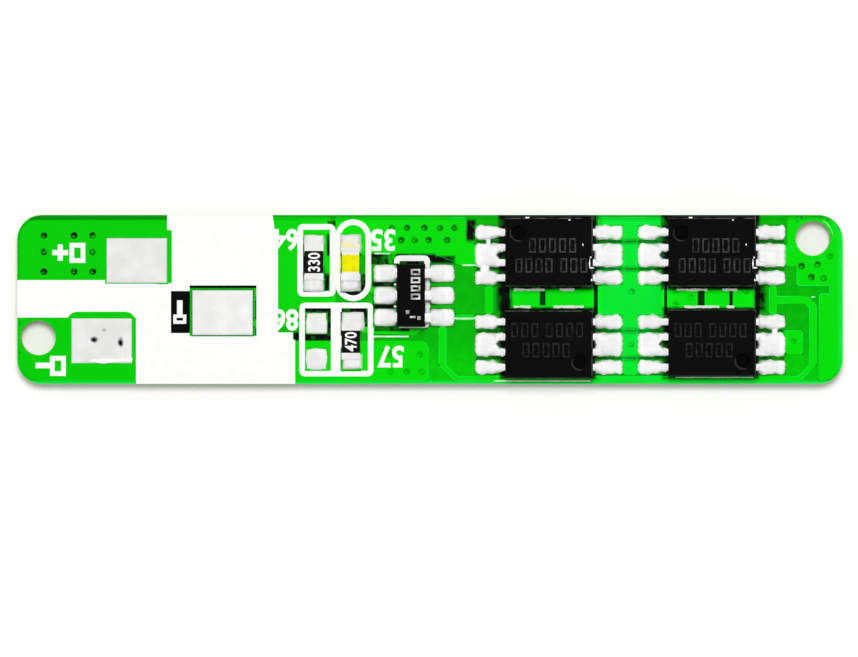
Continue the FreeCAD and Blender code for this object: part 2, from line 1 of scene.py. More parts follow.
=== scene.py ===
from math import cos, pi, radians, sin
from collections import namedtuple
import bpy
import numpy as np
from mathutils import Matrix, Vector


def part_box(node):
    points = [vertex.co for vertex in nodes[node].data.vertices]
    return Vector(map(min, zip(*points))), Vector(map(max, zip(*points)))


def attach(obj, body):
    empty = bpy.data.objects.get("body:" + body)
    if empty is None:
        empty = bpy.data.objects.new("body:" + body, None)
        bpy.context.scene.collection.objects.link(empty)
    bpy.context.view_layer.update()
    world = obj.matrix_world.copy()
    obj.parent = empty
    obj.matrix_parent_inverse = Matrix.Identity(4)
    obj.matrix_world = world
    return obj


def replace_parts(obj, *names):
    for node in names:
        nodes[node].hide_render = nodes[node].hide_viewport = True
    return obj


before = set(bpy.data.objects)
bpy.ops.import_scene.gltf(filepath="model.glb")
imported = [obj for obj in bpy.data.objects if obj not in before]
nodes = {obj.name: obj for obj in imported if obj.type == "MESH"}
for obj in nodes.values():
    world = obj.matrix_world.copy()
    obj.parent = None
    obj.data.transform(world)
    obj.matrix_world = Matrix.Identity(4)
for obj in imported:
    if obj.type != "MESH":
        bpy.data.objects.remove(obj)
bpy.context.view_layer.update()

# Battery management board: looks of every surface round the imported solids.
# The code works in the board's millimetres, in the CAD's frame. MM turns them into metres.
# A place is given by its left, lower, right and upper edge unless a comment says otherwise.
MM = 0.001


def extent(name):
    """Lowest and highest corner of a node, in millimetres."""
    low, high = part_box(name)
    return np.array(low) / MM, np.array(high) / MM


# Levels of the layers
board_low, board_high = extent("laminate")
laminate_top = board_high[2]
copper_top = extent("copper_front")[1][2]
mask_top = extent("solder_mask_front")[1][2]
print_top = extent("silkscreen_front")[1][2]
bare_top = mask_top - (copper_top - laminate_top)
mask_low = extent("solder_mask_back")[0][2]
bare_low = mask_low + board_low[2] - extent("copper_back")[0][2]

# Places of the eight-lead packages: middle of the lead rows, and half a turn for the lower two
fet_pitch = 0.65
fet_land_end = 3.16
fet_outer_half = 0.3
fet_middle_half = 0.5
fets = {
    "transistor_1": (5.11, 1.9, 0),
    "transistor_2": (12.11, 1.9, 0),
    "transistor_3": (5.11, -1.94, 1),
    "transistor_4": (12.11, -1.94, 1),
}

# The lower two mouldings end a little short of the board's lower edge
lower_trims = {"transistor_3": 0.07, "transistor_4": 0.17}

# The six-lead controller; its leads stand a little to the left of its lands' middle
controller_x = -0.68
controller_y = 0.17
controller_pitch = 0.95
controller_land_end = 1.72
controller_land_half = 0.37
controller_shift = 0.07

# A gull-wing lead: four distances from the package's middle, the section's two sizes, and the levels at which
# its middle line leaves the package and rests on the land
Lead = namedtuple("Lead", "root shoulder knee tip width thick exit_z foot_z")

# Middles of the worn print lines beside the transistors, where they run, and the stretches rubbed off and how
# soft each is
print_lines = (0.42, -0.32)
print_lines_zone = (3.2, -0.5, 14.0, 0.55)
print_gaps = [
    (4.94, 0.2, 5.55, 0.6, 0.04),
    (6.23, 0.2, 6.8, 0.6, 0.04),
    (11.94, 0.2, 12.55, 0.6, 0.04),
    (13.23, 0.2, 13.8, 0.6, 0.04),
    (4.34, -0.5, 5.3, -0.2, 0.04),
    (10.5, -0.5, 10.92, -0.2, 0.04),
    (12.45, -0.5, 12.73, -0.2, 0.04),
    (13.1, -0.5, 13.8, -0.2, 0.04),
]

# Gloss of tin and solder
tin_specular = 0.06

# How far the underside of each mark lies inside what carries it
sunk = 0.002

# Round the locating holes and left of the chips, the mask is as bright as over copper
bright_zones = [(-17.9, -2.7, -15.8, -0.6), (15.4, 1.56, 17.5, 3.5), (-5.9, -0.34, -4.1, 0.34)]

# Shadow of each package on the mask: how far it reaches on the left, below, on the right and above
package_shade = {
    name: (0.14, -0.12, 0.06, 0.0) if turned else (0.2, 0.06, 0.1, 0.0)
    for name, (_, _, turned) in fets.items()
}
package_shade["controller"] = (0.1, 0.02, 0.02, 0.12)

# Middles of the vias
via_radius = 0.17
vias = [(x, y) for y in (2.75, 1.2) for x in (-16.6, -15.3, -14.5)] + [(-16.6, 2.05), (-14.5, 2.05)]
vias += [(x, 3.08) for x in (-1.62, -1.0, -0.24, 0.42, 1.06)]
vias += [(x, 2.56) for x in (-1.24, -0.66, -0.06, 0.74)]
vias += [(x, -3.1) for x in (-1.68, -1.0, -0.36)] + [(-1.72, -2.36), (-0.43, -2.36)]
vias += [(15.98, 1.44), (16.66, 1.5), (17.2, 1.86), (16.4, 0.96), (16.92, 0.92)]
vias += [(8.68, 0.34), (8.64, -1.92), (11.2, 0.1), (10.56, -0.22), (10.56, 0.38), (13.6, 0.36)]
vias += [(15.62, -1.78)]


# Camera and light
def add_object(name, data):
    made = bpy.data.objects.new(name, data)
    bpy.context.scene.collection.objects.link(made)
    return made


def aim_camera():
    """Straight down, framed so that one image pixel covers 0.043 mm of the board's face."""
    image_width, image_height = 858, 657
    pixel = 0.043 * MM
    board_middle_pixel = (430.0, 299.4)
    data = bpy.data.cameras.new("camera")
    camera = add_object("camera", data)
    data.lens = 300
    data.sensor_width = 36
    distance = image_width * pixel * data.lens / data.sensor_width
    x = (image_width / 2 - board_middle_pixel[0]) * pixel
    y = (board_middle_pixel[1] - image_height / 2) * pixel
    camera.location = (x, y, mask_top * MM + distance)
    data.clip_start = 0.001
    data.clip_end = 10
    bpy.context.scene.camera = camera


def area_light(name, place, size, energy):
    """Round lamp that faces the board's middle."""
    data = bpy.data.lights.new(name, "AREA")
    data.shape = "DISK"
    data.size = size
    data.energy = energy
    light = add_object(name, data)
    light.location = place
    light.rotation_euler = (-Vector(place)).to_track_quat("-Z", "Y").to_euler()


def open_view(tree):
    """Value that is 1 for what the camera, a reflection or a refraction sees, and 0 for light that falls."""
    path = tree.nodes.new("ShaderNodeLightPath")
    rays = ("Is Camera Ray", "Is Glossy Ray", "Is Transmission Ray")
    return highest(*(Value(path.outputs[ray]) for ray in rays))


def set_world():
    """Even white surroundings at a plain level, seen as full white."""
    fill = 0.5
    world = bpy.data.worlds.new("studio")
    bpy.context.scene.world = world
    world.use_nodes = True
    inputs = world.node_tree.nodes["Background"].inputs
    feed((1, 1, 1), inputs["Color"])
    feed(scaled(open_view(world.node_tree), 1 - fill, fill), inputs["Strength"])


def lay_floor():
    """White floor just under the board, out to well past the view; it keeps the board's shadow."""
    half = 0.4
    lift = 0.03
    level = -0.01 * MM
    mesh = bpy.data.meshes.new("floor")
    corners = [(-half, -half, level), (half, -half, level), (half, half, level), (-half, half, level)]
    mesh.from_pydata(corners, [], [(0, 1, 2, 3)])
    floor = add_object("floor", mesh)
    material, tree = new_material("floor")
    finished(material, (0.95, 0.95, 0.95), 0.9, 0)
    inputs = tree.nodes["Principled BSDF"].inputs
    feed((1, 1, 1), inputs["Emission Color"])
    feed(open_view(tree) * lift, inputs["Emission Strength"])
    mesh.materials.append(material)


# Material nodes
class Value:
    """Output of a shader node. Reckoning with it adds math nodes to its tree."""

    def __init__(self, socket):
        self.socket = socket
        self.tree = socket.id_data

    def __add__(self, other):
        return reckon("ADD", self, other)

    def __sub__(self, other):
        return reckon("SUBTRACT", self, other)

    def __mul__(self, other):
        return reckon("MULTIPLY", self, other)

    def __abs__(self):
        return reckon("ABSOLUTE", self)


def feed(value, socket):
    """Link a value to a socket, or set the socket to a number or to a colour's three numbers."""
    if isinstance(value, Value):
        value.tree.links.new(value.socket, socket)
    else:
        socket.default_value = (*value, 1) if isinstance(value, tuple) else value


def reckon(operation, first, *others):
    """Math node on a value and on further values or numbers."""
    made = first.tree.nodes.new("ShaderNodeMath")
    made.operation = operation
    for value, socket in zip((first, *others), made.inputs):
        feed(value, socket)
    return Value(made.outputs[0])


def highest(first, *others):
    for other in others:
        first = reckon("MAXIMUM", first, other)
    return first


def scaled(value, factor, offset):
    """value * factor + offset."""
    return reckon("MULTIPLY_ADD", value, factor, offset)


def length(u, v):
    return reckon("SQRT", scaled(u, u, v * v))


def ramp(value, start, end):
    """0 below start, 1 above end, smooth between; end may be the lower."""
    made = value.tree.nodes.new("ShaderNodeMapRange")
    made.interpolation_type = "SMOOTHSTEP"
    settings = (start, end, 0.0, 1.0) if start < end else (end, start, 1.0, 0.0)
    feed(value, made.inputs["Value"])
    for name, number in zip(("From Min", "From Max", "To Min", "To Max"), settings):
        made.inputs[name].default_value = number
    return Value(made.outputs["Result"])


def blend(share, low, high):
    """Mix of two colours, each a value or three numbers."""
    made = share.tree.nodes.new("ShaderNodeMix")
    made.data_type = "RGBA"
    for value, number in ((share, 0), (low, 6), (high, 7)):
        feed(value, made.inputs[number])
    return Value(made.outputs[2])


def noise(place, scale, detail=2.0):
    made = place.tree.nodes.new("ShaderNodeTexNoise")
    for value, name in ((place, "Vector"), (scale, "Scale"), (detail, "Detail")):
        feed(value, made.inputs[name])
    return Value(made.outputs["Fac"])


def attribute(tree, name):
    made = tree.nodes.new("ShaderNodeAttribute")
    made.attribute_name = name
    return Value(made.outputs["Fac"])


def axes(vector):
    """The x, y and z of a vector value."""
    parts = vector.tree.nodes.new("ShaderNodeSeparateXYZ")
    feed(vector, parts.inputs[0])
    return [Value(part) for part in parts.outputs]


def board_place(tree):
    """Object coordinates in millimetres: the vector, then x, y and z."""
    where = tree.nodes.new("ShaderNodeTexCoord")
    scale = tree.nodes.new("ShaderNodeVectorMath")
    scale.operation = "SCALE"
    feed(Value(where.outputs["Object"]), scale.inputs[0])
    scale.inputs["Scale"].default_value = 1 / MM
    place = Value(scale.outputs[0])
    return place, *axes(place)


def local_place(tree):
    """The piece's own UV map, in millimetres from its middle: u and v."""
    where = tree.nodes.new("ShaderNodeUVMap")
    where.uv_map = "local"
    return axes(Value(where.outputs[0]))[:2]


def near_box(x, y, box, soft):
    """1 inside a rectangle of the board, falling to 0 over a soft edge outside it."""
    left, lower, right, upper = box
    dx = abs(x - (left + right) / 2) - (right - left) / 2
    dy = abs(y - (lower + upper) / 2) - (upper - lower) / 2
    return ramp(highest(dx, dy), soft, 0.0)


def cover(share, x, y, boxes):
    """The share, raised to 1 in each box. The last number of a box is how soft it is."""
    for *box, soft in boxes:
        share = highest(share, near_box(x, y, box, soft))
    return share


def new_material(name):
    material = bpy.data.materials.new(name)
    material.use_nodes = True
    return material, material.node_tree


def finished(material, colour, roughness, specular, relief=None, metallic=0.0):
    """The material with its surface set. relief is a height, its depth in millimetres and its strength."""
    parts = material.node_tree.nodes
    inputs = parts["Principled BSDF"].inputs
    feed(colour, inputs["Base Color"])
    feed(roughness, inputs["Roughness"])
    feed(specular, inputs["Specular IOR Level"])
    feed(metallic, inputs["Metallic"])
    if relief:
        height, depth, strength = relief
        bump = parts.new("ShaderNodeBump")
        feed(strength, bump.inputs["Strength"])
        feed(depth * MM, bump.inputs["Distance"])
        feed(height, bump.inputs["Height"])
        feed(Value(bump.outputs[0]), inputs["Normal"])
    return material


# Green solder mask: its colours
copper_green = (0.0005, 0.7, 0.001)
left_green = (0.0006, 0.575, 0.0008)
centre_green = (0.0004, 0.775, 0.03)
# Painted light: copper between the packages, brighter to make up for the shade they cast
block_painted_light_green = (0.0004, 0.93, 0.0045)
bare_green = (0.0004, 0.475, 0.0007)
lower_bare_green = (0.0004, 0.6, 0.001)
# Painted highlight along the lower and right edge, and a paler painted glint right at the lower edge
edge_highlight_green = (0.003, 0.76, 0.045)
edge_glint_green = (0.06, 0.74, 0.16)
# Dark rim along the upper edge: partly the margin without copper, partly painted shade
rim_green = (0.0004, 0.23, 0.0006)
dull_green = (0.0006, 0.55, 0.0016)
# Lighter mask thin over copper edges, partly painted highlight
thin_highlight_green = (0.01, 0.9, 0.12)
gap_green = (0.0001, 0.008, 0.0003)
via_green = (0.0002, 0.008, 0.0015)
# Black of the painted shade and of the black ink places
shade_and_ink_black = (0.0006, 0.0012, 0.0006)

# Its roughness and gloss, and the depth and strength of its relief
mask_gloss = (0.3, 0.012)
mask_relief = (0.004, 0.5)

# How far inside the mask's two levels the step between them ends
step_margin = 0.008

# Places with a tone of their own; in the middle zone, painted light over copper
middle_zone = (3.1, -0.62, 14.15, 0.68)
centre_zone = (7.45, -3.4, 9.85, 3.5)

# Black places on the mask, and how soft each is
inked = [
    (-11.14, -1.45, -10.34, 0.36, 0.02),
    (-10.4, 0.5, -7.4, 0.66, 0.02),
    (-11.14, 0.3, -10.98, 0.6, 0.03),
    (-1.36, 1.62, -0.1, 1.72, 0.03),
]

# Shaded places with uneven borders, in the same way
shaded = [
    (1.62, 2.6, 1.9, 3.36, 0.14),
    (3.0, -0.4, 3.4, 0.62, 0.25),
    (14.06, -0.37, 14.3, 0.58, 0.25),
    (-2.52, 1.56, -1.83, 1.92, 0.12),
    (-2.45, 0.57, -1.46, 0.75, 0.06),
    (-2.45, -0.38, -1.46, -0.21, 0.06),
    (-2.36, -1.34, -0.9, -1.16, 0.06),
    (-1.42, 1.68, 0.2, 1.92, 0.1),
    (0.1, 1.62, 1.0, 1.8, 0.14),
    (-5.37, -0.53, -2.75, -0.38, 0.03),
    (-4.38, -1.7, -4.27, -0.4, 0.03),
    (-5.37, -1.74, -4.27, -1.5, 0.07),
    (-3.82, -2.9, -3.74, -0.4, 0.03),
    (-2.83, -1.15, -2.71, -0.5, 0.04),
    (-5.46, 0.32, -5.38, 2.6, 0.03),
    (-4.5, 0.3, -4.36, 1.1, 0.05),
    (-4.42, 1.9, -4.34, 2.8, 0.04),
    (-2.94, 0.3, -2.75, 1.05, 0.08),
    (-3.7, 0.12, -3.0, 0.3, 0.06),
    (-5.84, -1.74, -5.66, -1.44, 0.06),
    (-4.36, 3.05, -4.1, 3.34, 0.08),
]


def land_gap_shade(x, y):
    """Painted shade: dark lines between the lands of the eight-lead packages, and dim spots midway between
    the packages.

    The four packages are folded onto one: away and across are the distances from its middle.
    """
    left, upper = fets["transistor_1"][:2]
    right, lower = fets["transistor_4"][:2]
    away = abs(abs(x - (left + right) / 2) - (right - left) / 2)
    across = reckon("MINIMUM", abs(y - upper), abs(y - lower))
    lines = near_box(away, across, (1.9, 0.56, 3.1, 0.615), 0.05) * 0.7
    spots = near_box(away, across, (3.3, 0.53, 3.6, 0.65), 0.12) * 0.5
    return highest(lines, spots * near_box(x, y, (8.2, -3.0, 9.0, 3.0), 0.05))


def mask_group():
    """Node group with the solder mask's colour and its height, shared by the mask and by what lies in it."""
    tree = bpy.data.node_groups.new("mask_colour", "ShaderNodeTree")
    tree.interface.new_socket("Colour", in_out="OUTPUT", socket_type="NodeSocketColor")
    tree.interface.new_socket("Height", in_out="OUTPUT", socket_type="NodeSocketFloat")
    exit_node = tree.nodes.new("NodeGroupOutput")
    place, x, y, z = board_place(tree)
    ripple = noise(place, 3.0, 3.0)
    # 1 on the front, 0 on the back
    front = ramp(z, 0.3, 0.5)

    # Bright over copper, front and back, and darker between it
    over_copper = ramp(z, bare_top + step_margin, mask_top - step_margin)
    for zone in bright_zones:
        over_copper = highest(over_copper, near_box(x, y, zone, 0.05) * front)
    over_copper = highest(over_copper, ramp(z, bare_low - step_margin, mask_low + step_margin))
    middle = near_box(x, y, middle_zone, 0.1) * front
    bright = blend(ramp(x, -9.0, -2.5), left_green, copper_green)
    # Painted light over copper in the middle zone
    bright = blend(middle, bright, block_painted_light_green)
    bright = blend(near_box(x, y, centre_zone, 0.15) * front, bright, centre_green)
    bare = blend(ramp(y, -1.6, -3.0), bare_green, lower_bare_green)
    bare = blend(ramp(ripple, 0.3, 0.62) * 0.12, bare, gap_green)
    bare = blend(middle, bare, gap_green)
    colour = blend(over_copper, bare, bright)

    # Painted highlight along the lower and right edge, a dark rim along the upper one, and a broad unevenness
    left, lower = board_low[:2]
    right, upper = board_high[:2]
    sides = highest(ramp(y, lower + 0.2, lower + 0.03), ramp(x, right - 0.3, right - 0.05))
    colour = blend(sides, colour, edge_highlight_green)
    colour = blend(ramp(y, lower + 0.1, lower + 0.02) * 0.3, colour, edge_glint_green)
    # The upper rim is partly the margin without copper, partly painted shade
    outermost = scaled(ramp(y, upper - 0.14, upper - 0.04), -0.4, 1.0)
    along = scaled(ramp(x, -8.0, -10.8), 0.65, 0.35)
    rim_share = ramp(y, upper - 0.27, upper - 0.16) * outermost * along
    colour = blend(rim_share, colour, rim_green)
    colour = blend(ramp(noise(place, 0.35), 0.3, 0.7) * 0.1, colour, dull_green)

    # Painted shade of the front: lines between lands, shaded places and the packages' shadows; then black ink
    dark = cover(land_gap_shade(x, y), x, y, shaded)
    for name, (left, lower, right, upper) in package_shade.items():
        low, high = extent(name + "_body")
        dark = cover(dark, x, y, [(low[0] - left, low[1] - lower, high[0] + right, high[1] + upper, 0.14)])
    dark *= scaled(ramp(noise(place, 2.6), 0.36, 0.5), 0.25, 0.75)
    dark = cover(dark, x, y, inked)
    feed(blend(dark * front, colour, shade_and_ink_black), exit_node.inputs["Colour"])
    feed(ripple, exit_node.inputs["Height"])
    return tree


def mask_look(tree, group):
    """Colour and height from the solder mask's node group."""
    made = tree.nodes.new("ShaderNodeGroup")
    made.node_tree = group
    return Value(made.outputs["Colour"]), Value(made.outputs["Height"])


def green_mask(group):
    """Glossy green lacquer, lighter over copper, darker where the laminate shows through."""
    material, tree = new_material("green_mask")
    colour, ripple = mask_look(tree, group)
    return finished(material, colour, *mask_gloss, (ripple, *mask_relief))


def via_mask(group):
    """Mask sagging into a via: a broken dark ring round a green middle, darker at the left and higher up.

    Its UV map is millimetres from the via's middle.
    """
    material, tree = new_material("tented_via")
    colour, ripple = mask_look(tree, group)
    u, v = local_place(tree)
    board, x, y, _ = board_place(tree)
    ring = ramp(length(u + 0.03, v + 0.035), 0.015, 0.06) * ramp(length(u, v), 0.165, 0.12)
    broken = scaled(ramp(noise(board, 4.0), 0.36, 0.56), 0.6, 0.4)
    strong = scaled(ramp(y, 0.2, 1.0), 0.45, 0.4)
    strong = scaled(ramp(x, -6.0, -12.0), 0.35, strong)
    colour = blend(ring * broken * strong, colour, via_green)
    return finished(material, colour, *mask_gloss, (ripple, *mask_relief))


def white_print(group):
    """Matt white ink, a little uneven; the lines beside the transistors are worn thin, broken and ragged."""
    material, tree = new_material("white_print")
    place, x, y, _ = board_place(tree)
    mottle = ramp(noise(place, 2.2, 4.0), 0.3, 0.7)
    ink = blend(mottle, (0.905, 0.905, 0.89), (0.93, 0.93, 0.915))
    away = reckon("MINIMUM", *(abs(y - line) for line in print_lines))
    ragged = scaled(noise(place, 5.0, 3.0), 0.12, -0.06)
    gone = cover(ramp(away + ragged, 0.04, 0.055), x, y, print_gaps)
    worn = near_box(x, y, print_lines_zone, 0.05) * gone
    colour = blend(worn, ink, mask_look(tree, group)[0])
    return finished(material, colour, 0.55, 0.03, (noise(place, 12.0, 3.0), 0.004, 0.4))


def tin(name, light, dark, roughness, metallic=0.0, stripe=None):
    """Dull tin or solder with a fine grain and broad patches. stripe: a place and its stain's colour."""
    material, tree = new_material(name)
    place, x, y, _ = board_place(tree)
    grain = noise(place, 9.0, 4.0)
    colour = blend(ramp(noise(place, 1.6, 3.0), 0.35, 0.68), dark, light)
    if stripe:
        box, stain = stripe
        colour = blend(near_box(x, y, box, 0.06) * ramp(grain, 0.3, 0.6), colour, stain)
    return finished(material, colour, roughness, tin_specular, (grain, 0.008, 0.4), metallic)


def pitted_tin(name, level):
    """Tin with a stain attribute that darkens its pits and creases."""
    material, tree = new_material(name)
    place = board_place(tree)[0]
    dim, light = level * 0.95, level * 1.05
    patches = ramp(noise(place, 1.3, 3.0), 0.35, 0.7)
    colour = blend(patches, (dim, dim, dim * 0.99), (light, light, light * 0.99))
    colour = blend(attribute(tree, "stain"), colour, (0.003, 0.003, 0.003))
    return finished(material, colour, 0.45, tin_specular, (noise(place, 9.0, 4.0), 0.01, 0.5))


def black_moulding():
    """Moulding compound: fine grain, and faint painted highlight lines along the edges of the top.

    UV is millimetres from the middle. The attribute mark is below 0 in the pressed pin mark and above 0 on
    its lit rim.
    """
    material, tree = new_material("black_moulding")
    u, v = local_place(tree)
    board = board_place(tree)[0]
    grain = noise(board, 14.0, 4.0)
    colour = blend(ramp(grain, 0.35, 0.75), (0.0011, 0.0011, 0.001), (0.0032, 0.0032, 0.0029))
    lines = ramp(abs(u - 1.84), 0.035, 0.015)
    for place, half_width in ((1.4, 0.014), (1.56, 0.014), (-1.5, 0.026)):
        lines = highest(lines, ramp(abs(v - place), half_width + 0.02, half_width))
    faint = lines * ramp(noise(board, 2.0, 2.0), 0.35, 0.6)
    # Painted highlight: the faint lighter lines along the top's edges
    colour = blend(faint, colour, (0.07, 0.07, 0.067))
    mark = attribute(tree, "mark")
    colour = blend(ramp(mark, -0.1, -0.9), colour, (0.0003, 0.0003, 0.0003))
    # Painted highlight on the lit side of the pin mark's rim
    colour = blend(ramp(mark, 0.1, 1.0), colour, (0.03, 0.03, 0.029))
    return finished(material, colour, 0.6, 0.02, (grain, 0.008, 0.5))


def thin_mask_highlight(group):
    """Mask stretched thin over the edge of the copper, lighter for that and as a painted highlight: in uneven
    stretches, right of the middle.
    """
    material, tree = new_material("thin_mask_highlight")
    place, x, _, _ = board_place(tree)
    share = scaled(ramp(noise(place, 1.1), 0.42, 0.62), 0.35, 0.05) * ramp(x, -2.0, 1.0)
    return finished(material, blend(share, mask_look(tree, group)[0], thin_highlight_green), *mask_gloss)


def pale_highlight_mask():
    """Pale mask colour for painted highlights, in uneven stretches."""
    material, tree = new_material("pale_highlight_mask")
    share = ramp(noise(board_place(tree)[0], 2.5, 3.0), 0.35, 0.6)
    return finished(material, blend(share, (0.35, 0.85, 0.4), (0.8, 0.93, 0.82)), 0.4, 0.02)


def etched(name, level):
    """Laser-burnt moulding: a grey that breaks up with the grain."""
    material, tree = new_material(name)
    share = ramp(noise(board_place(tree)[0], 5.0, 4.0), 0.34, 0.62)
    dim = (level * 0.3, level * 0.3, level * 0.28)
    return finished(material, blend(share, dim, (level, level, level * 0.97)), 0.8, 0.03)


def speckled(name, light, dark, scale, roughness, specular, ends=None):
    """One colour with a fine mottle of another, and a grain of that size. ends: tinned beyond these two y."""
    material, tree = new_material(name)
    place, _, y, _ = board_place(tree)
    mottle = noise(place, scale, 3.0)
    colour = blend(ramp(mottle, 0.35, 0.65), dark, light)
    if ends:
        low, high = ends
        tinned = highest(ramp(y, low + 0.02, low - 0.02), ramp(y, high - 0.03, high + 0.03))
        colour = blend(tinned, colour, (0.8, 0.8, 0.76))
    return finished(material, colour, roughness, specular, (mottle, 0.006, 0.4))


def woven_laminate():
    """Glass cloth in resin: its layers show on the board's edge, and its top is stained beside the lands."""
    material, tree = new_material("laminate")
    place, _, _, z = board_place(tree)
    layer_pitch = 0.1
    layers = reckon("SINE", z * (2 * pi / layer_pitch))
    threads = noise(place, 5.0, 3.0)
    colour = blend(ramp(scaled(layers, 0.25, threads), 0.2, 0.9), (0.2, 0.3, 0.06), (0.5, 0.55, 0.24))
    stained = ramp(z, laminate_top - 0.004, laminate_top - 0.001)
    colour = blend(stained, colour, (0.004, 0.12, 0.008))
    return finished(material, colour, 0.6, 0.3, (threads, 0.01, 0.4))


def bare_copper():
    """Copper, under a green film where the mask's openings leave its face bare beside the solder."""
    material, tree = new_material("copper")
    place, _, _, z = board_place(tree)
    metal = blend(ramp(noise(place, 4.0, 3.0), 0.3, 0.7), (0.62, 0.25, 0.12), (0.8, 0.42, 0.26))
    film = (copper_top - 0.004, copper_top - 0.001)
    colour = blend(ramp(z, *film), metal, left_green)
    relief = (noise(place, 18.0, 2.0), 0.004, 0.4)
    return finished(material, colour, 0.4, 0.02, relief, metallic=ramp(z, *film[::-1]))


# Meshes
def mesh_points(mesh):
    points = np.empty(3 * len(mesh.vertices))
    mesh.vertices.foreach_get("co", points)
    return points.reshape(-1, 3)


def quads(rows, cols, first=0, flipped=False):
    """Faces of a grid of points, numbered row by row from first."""
    index = np.arange(rows * cols).reshape(rows, cols) + first
    corners = [index[:-1, :-1], index[1:, :-1], index[1:, 1:], index[:-1, 1:]]
    if flipped:
        corners.reverse()
    return np.stack(corners, -1).reshape(-1, 4)


def grid_points(x, y, z):
    return np.stack([x, y, z], -1).reshape(-1, 3)


def sheet_pair(x, y, top, bottom):
    """Closed form between two height grids over the same places: x changes along a row, y along a column."""
    rows, cols = x.shape
    faces = [quads(rows, cols, 0, True), quads(rows, cols, rows * cols)]
    return np.concatenate([grid_points(x, y, top), grid_points(x, y, bottom)]), np.concatenate(faces)


def merged(parts):
    """One list of points and faces from several."""
    points = []
    faces = []
    first = 0
    for part_points, part_faces in parts:
        points.append(part_points)
        faces.append(part_faces + first)
        first += len(part_points)
    return np.concatenate(points), np.concatenate(faces)


def add_piece(name, mesh, material):
    mesh.materials.append(material)
    piece = add_object(name, mesh)
    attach(piece, "root")
    return piece


def build(name, form, material, local=None, smooth=True):
    """Mesh piece from points in millimetres and faces. local gives each point's own place as a UV map."""
    points, faces = form
    mesh = bpy.data.meshes.new(name)
    mesh.from_pydata((points * MM).tolist(), [], faces.tolist())
    mesh.polygons.foreach_set("use_smooth", np.full(len(mesh.polygons), smooth))
    if local is not None:
        corner = np.empty(len(mesh.loops), dtype=np.int32)
        mesh.loops.foreach_get("vertex_index", corner)
        layer = mesh.uv_layers.new(name="local")
        layer.data.foreach_set("uv", local[corner].astype(np.float32).ravel())
    mesh.validate()
    return add_piece(name, mesh, material)


def set_attribute(piece, name, values):
    """One number for each point of a piece."""
    layer = piece.data.attributes.new(name, "FLOAT", "POINT")
    layer.data.foreach_set("value", values.astype(np.float32))


def spread(count):
    """Values from -1 to 1, closer together near the ends: sin(pi t / 2)."""
    return np.sin(np.linspace(-1, 1, count) * pi / 2)


def pillow(x, y, half_x, half_y, base, height, phase, wobble=0.04, corner=0.3, uneven=1.0):
    """Lump of solder on a rectangle.

    Its outline is the rectangle with corners drawn in by sqrt(1 - corner v^2 / 2), and its sides wander by
    sines. Its height is height * sqrt((1 - u^6)(1 - v^6)) with a shallow ripple, whose share is uneven.
    """
    v, u = np.meshgrid(spread(22), spread(26), indexing="ij")
    wander_u = np.sin(2.7 * v + phase) + 0.6 * np.sin(6.1 * v + 2.3 * phase)
    wander_v = np.sin(2.3 * u + 1.7 * phase) + 0.6 * np.sin(5.3 * u + 3.1 * phase)
    px = x + half_x * u * np.sqrt(1 - corner * v ** 2 / 2) * (1 + wobble * wander_u * np.abs(u) ** 3)
    py = y + half_y * v * np.sqrt(1 - corner * u ** 2 / 2) * (1 + wobble * wander_v * np.abs(v) ** 3)
    ripple = 0.1 * np.sin(4.1 * u + phase) * np.sin(3.3 * v + 2 * phase) + 0.05 * np.sin(9 * u - phase)
    ripple = 1 + uneven * ripple
    closing = np.sqrt(np.clip((1 - u ** 6) * (1 - v ** 6), 0, 1))
    return sheet_pair(px, py, base + height * closing * ripple, np.full_like(px, base))


def smooth_step(value, start, end):
    share = np.clip((value - start) / (end - start), 0, 1)
    return share ** 2 * (3 - 2 * share)


def lead_shape(name, distances, width, thick):
    """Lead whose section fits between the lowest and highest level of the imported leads."""
    low, high = extent(name)
    return Lead(*distances, width, thick, high[2] - thick / 2, low[2] + thick / 2)


def lead_level(lead, away):
    """Height of a lead's middle line: foot + (exit - foot) * S, S the smooth step from knee to shoulder."""
    bend = 0.06
    rise = smooth_step(away, lead.knee + bend, lead.shoulder - bend)
    return lead.foot_z + (lead.exit_z - lead.foot_z) * rise


